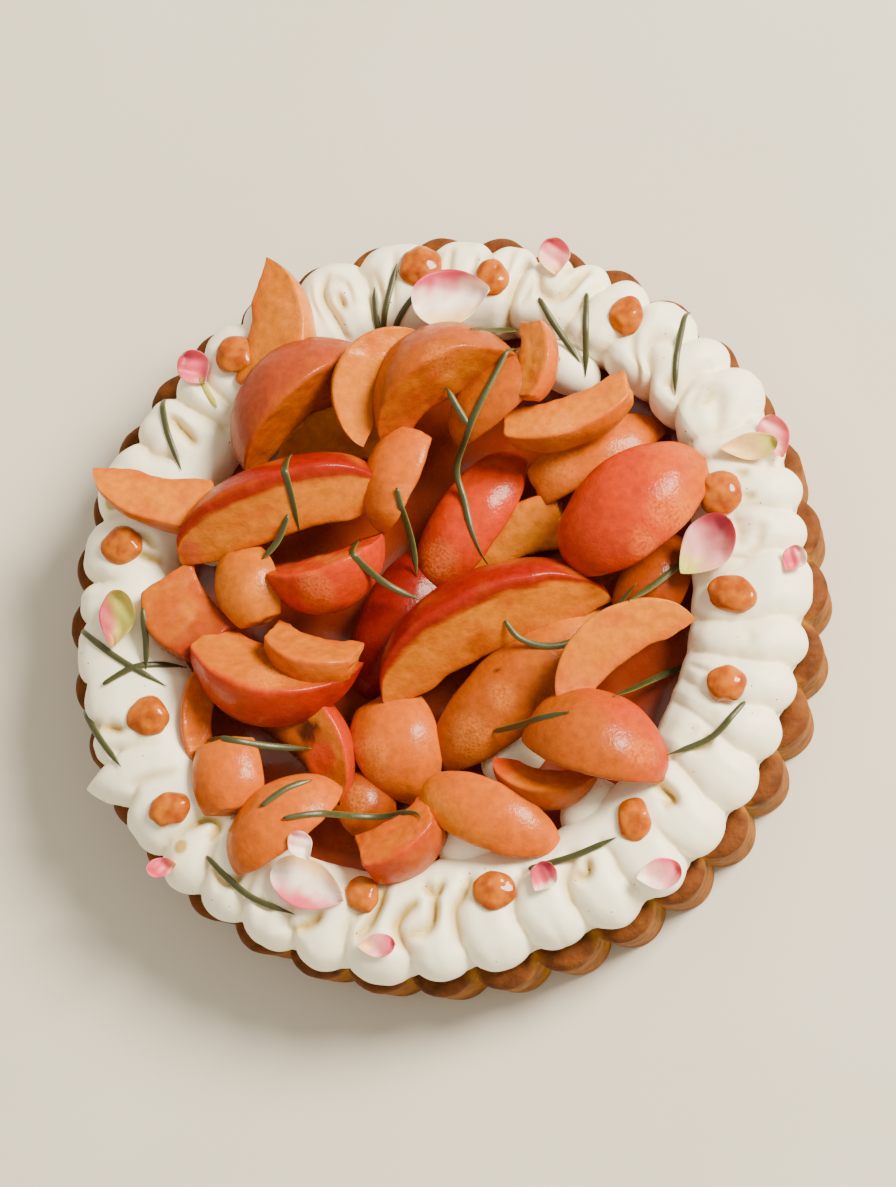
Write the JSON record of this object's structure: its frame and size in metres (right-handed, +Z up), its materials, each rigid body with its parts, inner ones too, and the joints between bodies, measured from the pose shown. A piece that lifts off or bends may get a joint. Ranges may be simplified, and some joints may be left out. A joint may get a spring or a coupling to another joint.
{
  "type": "fruit tart",
  "caption": "Round fluted tart with a dark set filling, a looped piped cream border, a loose pile of stone-fruit wedges, fruit-gel dots, petals and rosemary needles.",
  "frame": {"origin": "middle of the flat underside of the pastry case", "axes": "+Z up through the middle of the tart, -Y towards the side that is lowest in the picture, +X to its right"},
  "size_m": [0.23, 0.23, 0.0719],
  "materials": {
    "pastry": "dry baked pastry, golden brown",
    "filling": "glossy dark caramel set filling",
    "cream": "soft satin piped cream",
    "fruit": "moist stone-fruit flesh and peel",
    "gel": "clear glossy fruit gel",
    "petal": "thin soft flower petal"
  },
  "bodies": {
    "root": {"cream_border": "cream", "crust": "pastry", "filling": "filling", "fruit_01": "fruit", "fruit_02": "fruit", "fruit_03": "fruit", "fruit_04": "fruit", "fruit_05": "fruit", "fruit_06": "fruit", "fruit_07": "fruit", "fruit_08": "fruit", "fruit_09": "fruit", "fruit_10": "fruit", "fruit_11": "fruit", "fruit_12": "fruit", "fruit_13": "fruit", "fruit_14": "fruit", "fruit_15": "fruit", "fruit_16": "fruit", "fruit_17": "fruit", "fruit_18": "fruit", "fruit_19": "fruit", "fruit_20": "fruit", "fruit_21": "fruit", "fruit_22": "fruit", "fruit_23": "fruit", "fruit_24": "fruit", "fruit_25": "fruit", "fruit_26": "fruit", "fruit_27": "fruit", "fruit_28": "fruit", "fruit_29": "fruit", "fruit_30": "fruit", "fruit_31": "fruit", "fruit_32": "fruit", "fruit_33": "fruit", "fruit_34": "fruit", "fruit_35": "fruit", "gel_01": "gel", "gel_02": "gel", "gel_03": "gel", "gel_04": "gel", "gel_05": "gel", "gel_06": "gel", "gel_07": "gel", "gel_08": "gel", "gel_09": "gel", "gel_10": "gel", "gel_11": "gel", "gel_12": "gel", "gel_13": "gel", "petal_back": "petal", "petal_bud": "petal", "petal_front": "petal", "petal_inner": "petal", "petal_large": "petal", "petal_left": "petal", "petal_right": "petal", "petal_rim": "petal", "petal_small": "petal"}
  },
  "joints": []
}
